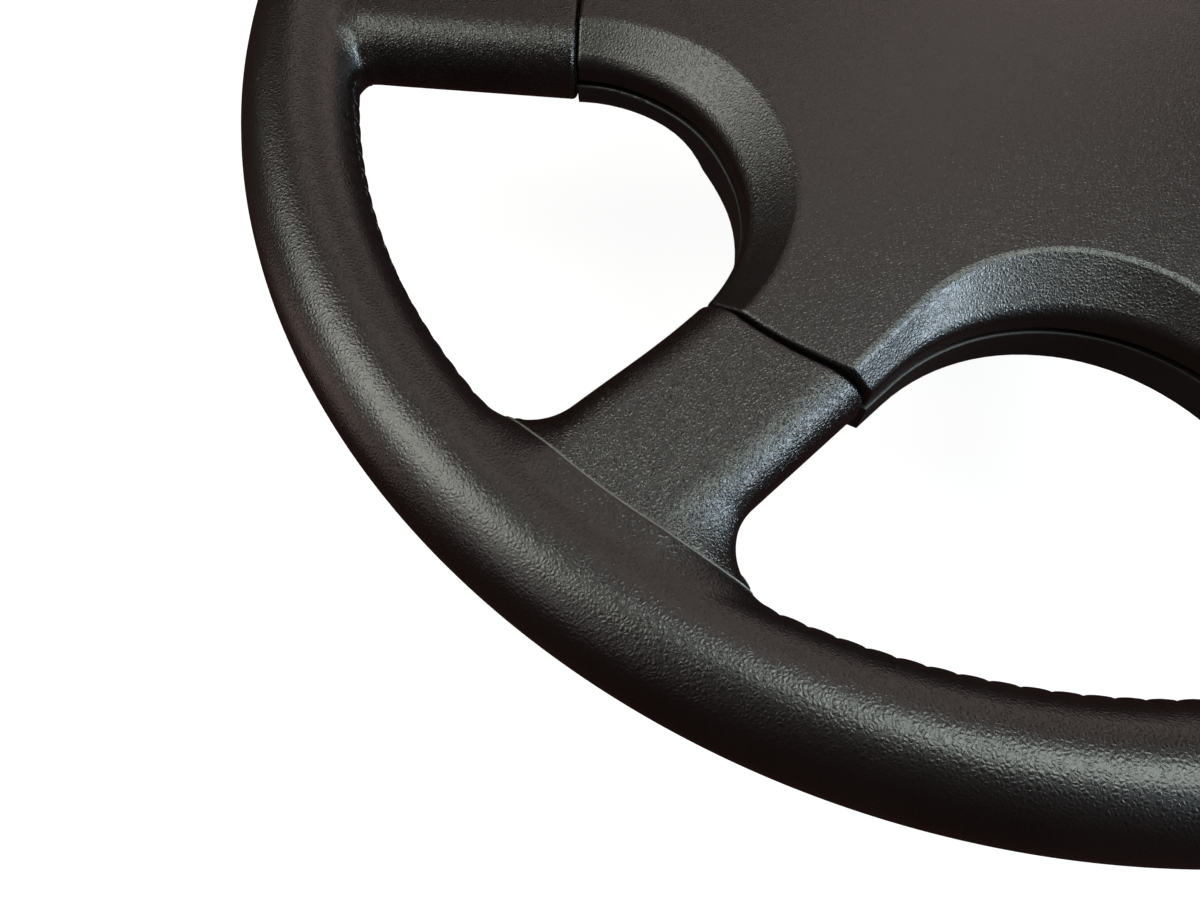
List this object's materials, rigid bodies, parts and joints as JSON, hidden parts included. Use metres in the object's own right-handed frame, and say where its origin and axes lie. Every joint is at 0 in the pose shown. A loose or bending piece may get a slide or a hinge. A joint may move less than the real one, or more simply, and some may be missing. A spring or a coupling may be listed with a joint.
{
  "type": "steering wheel",
  "caption": "Leather-wrapped four-spoke steering wheel with a scalloped horn pad that floats on springs over an airbag module, and a serrated hub bore.",
  "frame": {"origin": "on the steering axis, in the plane of the rear collar's edge on which the wheel rests", "axes": "+Z along the steering axis towards the driver, +Y to twelve o'clock, +X to the driver's right"},
  "size_m": [0.39, 0.39, 0.094],
  "materials": {
    "leather": "fine pebble grain, soft sheen",
    "pad_skin": "moulded skin with fine leather grain",
    "rear_plastic": "fine spark grain",
    "foam": "moulded foam skin",
    "casting": "as cast",
    "steel": "zinc plated",
    "black_screws": "black oxide",
    "contact_brass": "turned",
    "insulator": "moulded",
    "tray_paint": "electrocoat",
    "inflator_shell": "turned",
    "bag_cloth": "woven and folded",
    "rivet_alloy": "plain"
  },
  "bodies": {
    "wheel": {"armature": "casting", "hub_insert": "steel", "rim_foam": "foam", "rim_leather": "leather", "spoke_leather_left": "leather", "spoke_leather_right": "leather", "spoke_leather_lower_left": "leather", "spoke_leather_lower_right": "leather", "rear_cover": "rear_plastic", "rear_cover_screws": "black_screws", "horn_posts": "steel", "horn_springs": "steel", "horn_contact": "contact_brass", "contact_insulator": "insulator", "slip_plate": "insulator", "slip_ring": "contact_brass"},
    "horn_pad": {"pad_cover": "pad_skin", "module_tray": "tray_paint", "inflator": "inflator_shell", "cushion": "bag_cloth", "cushion_ring": "steel", "inflator_nuts": "steel", "cover_rivets": "rivet_alloy", "horn_carrier": "steel", "horn_standoffs": "steel", "module_screws": "steel", "horn_bushes": "insulator"}
  },
  "joints": [
    {"name": "horn_press", "type": "slide", "parent": "wheel", "child": "horn_pad", "axis": [0, 0, -1], "range_m": [0, 0.0012], "stiffness_N_per_m": 12000, "springref_m": -0.003, "deforming": ["horn_springs"]}
  ]
}
